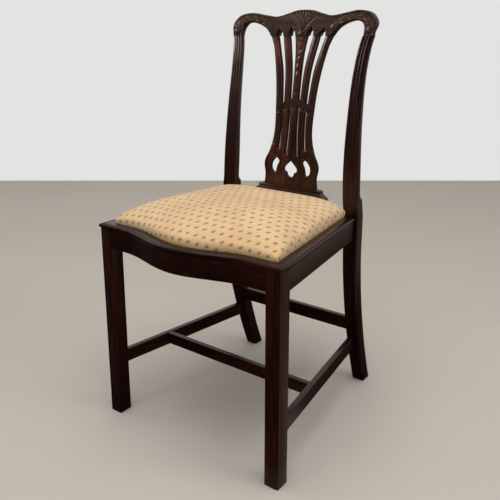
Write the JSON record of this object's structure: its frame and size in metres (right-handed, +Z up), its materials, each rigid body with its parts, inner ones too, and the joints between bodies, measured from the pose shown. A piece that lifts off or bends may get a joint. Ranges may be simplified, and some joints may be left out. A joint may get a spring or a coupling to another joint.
{
  "type": "shield back chair",
  "caption": "Mahogany side chair with a serpentine crest rail, pierced vase splat, square legs with stretchers and a drop-in upholstered seat.",
  "frame": {"origin": "on the floor, under the middle of the chair's bounding box", "axes": "+Z up, -Y the way the sitter faces, +X to the right of someone who faces the front of the chair"},
  "size_m": [0.494, 0.551, 0.9388],
  "materials": {
    "mahogany": "dark red brown french polished mahogany",
    "beech": "bare planed beech",
    "screw_steel": "plain steel wood screw",
    "webbing": "woven jute webbing",
    "hessian": "open woven hessian",
    "bottom_cloth": "thin black cotton",
    "seat_fabric": "pale gold woven furnishing fabric with small brown oval spots"
  },
  "bodies": {
    "frame": {"front_leg_left": "mahogany", "rear_leg_left": "mahogany", "side_rail_left": "mahogany", "side_lip_left": "mahogany", "side_stretcher_left": "mahogany", "front_leg_right": "mahogany", "rear_leg_right": "mahogany", "side_rail_right": "mahogany", "side_lip_right": "mahogany", "side_stretcher_right": "mahogany", "front_rail": "mahogany", "front_lip": "mahogany", "rear_rail": "mahogany", "shoe": "mahogany", "splat": "mahogany", "crest_rail": "mahogany", "cross_stretcher": "mahogany", "rear_stretcher": "mahogany", "corner_block_front_left": "beech", "corner_block_front_right": "beech", "corner_block_back_left": "beech", "corner_block_back_right": "beech", "block_screw_front_left_1": "screw_steel", "block_screw_front_left_2": "screw_steel", "block_screw_front_right_1": "screw_steel", "block_screw_front_right_2": "screw_steel", "block_screw_back_left_1": "screw_steel", "block_screw_back_left_2": "screw_steel", "block_screw_back_right_1": "screw_steel", "block_screw_back_right_2": "screw_steel"},
    "drop_in_seat": {"seat_frame_left": "beech", "seat_frame_right": "beech", "seat_frame_front": "beech", "seat_frame_back": "beech", "webbing_along_1": "webbing", "webbing_across_1": "webbing", "webbing_along_2": "webbing", "webbing_across_2": "webbing", "webbing_along_3": "webbing", "webbing_across_3": "webbing", "hessian": "hessian", "seat_bottom_cloth": "bottom_cloth", "seat_cushion": "seat_fabric"}
  },
  "joints": [
    {"name": "seat_lift", "type": "slide", "parent": "frame", "child": "drop_in_seat", "axis": [0, 0, 1], "range_m": [0, 0.12]}
  ]
}
